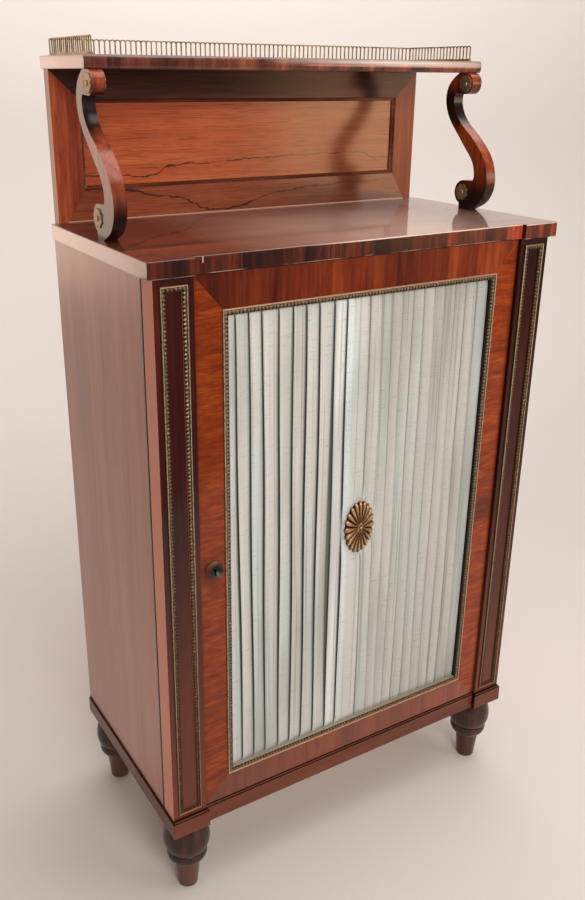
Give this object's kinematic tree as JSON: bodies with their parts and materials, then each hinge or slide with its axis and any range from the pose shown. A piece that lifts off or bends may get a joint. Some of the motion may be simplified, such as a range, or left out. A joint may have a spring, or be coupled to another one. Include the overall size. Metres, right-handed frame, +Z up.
{
  "type": "chiffonier",
  "caption": "Small upright cupboard with a silk-panelled door on turned feet, and a raised shelf on scroll brackets with a pierced brass gallery.",
  "frame": {"origin": "middle of the footprint, on the floor", "axes": "+Z up, -Y is the front with the door, +X is the right-hand side seen from the front"},
  "size_m": [0.62, 0.328, 1.15],
  "materials": {
    "rosewood": "french polished rosewood veneer, gloss",
    "deal": "plain sawn and planed, unpolished",
    "brass": "aged gilt, satin",
    "silk": "pleated silk, soft sheen",
    "lock_metal": "plain steel"
  },
  "bodies": {
    "carcass": {"foot_front_left": "rosewood", "foot_front_right": "rosewood", "foot_back_left": "rosewood", "foot_back_right": "rosewood", "plinth_front": "rosewood", "plinth_left": "rosewood", "plinth_right": "rosewood", "plinth_back": "deal", "corner_blocks": "deal", "bottom_rail": "deal", "bottom_board": "deal", "side_left": "rosewood", "side_right": "rosewood", "shelf_bearer_left": "deal", "shelf_bearer_right": "deal", "bearer_screws": "lock_metal", "inner_shelf": "deal", "back_boards": "deal", "pilaster_left": "rosewood", "pilaster_right": "rosewood", "pilaster_moulding_left": "brass", "pilaster_moulding_right": "brass", "top_rail_front": "deal", "top_rail_back": "deal", "slab_screws": "lock_metal", "top_slab": "rosewood", "pivot_lower_pin_plate": "brass", "pivot_upper_socket_plate": "brass", "pivot_frame_screws": "brass", "upper_back_stile_left": "rosewood", "upper_back_stile_right": "rosewood", "upper_back_rail_bottom": "rosewood", "upper_back_rail_top": "rosewood", "upper_back_panel": "rosewood", "upper_back_bead": "rosewood", "bracket_left": "rosewood", "bracket_right": "rosewood", "bracket_dowels": "deal", "bracket_rosettes_left": "brass", "bracket_rosettes_right": "brass", "upper_shelf": "rosewood", "gallery_back": "brass", "gallery_left": "brass", "gallery_right": "brass"},
    "door": {"door_stile_left": "rosewood", "door_stile_right": "rosewood", "door_rail_bottom": "rosewood", "door_rail_top": "rosewood", "door_moulding": "brass", "door_silk": "silk", "door_backboard": "deal", "door_fillets": "deal", "door_rosette": "brass", "rosette_nut": "brass", "lock_case": "lock_metal", "keyhole_escutcheon": "brass", "pivot_lower_socket_plate": "brass", "pivot_upper_pin_plate": "brass", "pivot_door_screws": "brass"},
    "lock_bolt": {"lock_bolt": "lock_metal"}
  },
  "joints": [
    {"name": "door_swing", "type": "hinge", "parent": "carcass", "child": "door", "pos_m": [0.242, -0.149, 0.52425], "axis": [0, 0, 1], "range_deg": [0, 105]},
    {"name": "bolt_slide", "type": "slide", "parent": "door", "child": "lock_bolt", "axis": [-1, 0, 0], "range_m": [0, 0.007]}
  ]
}
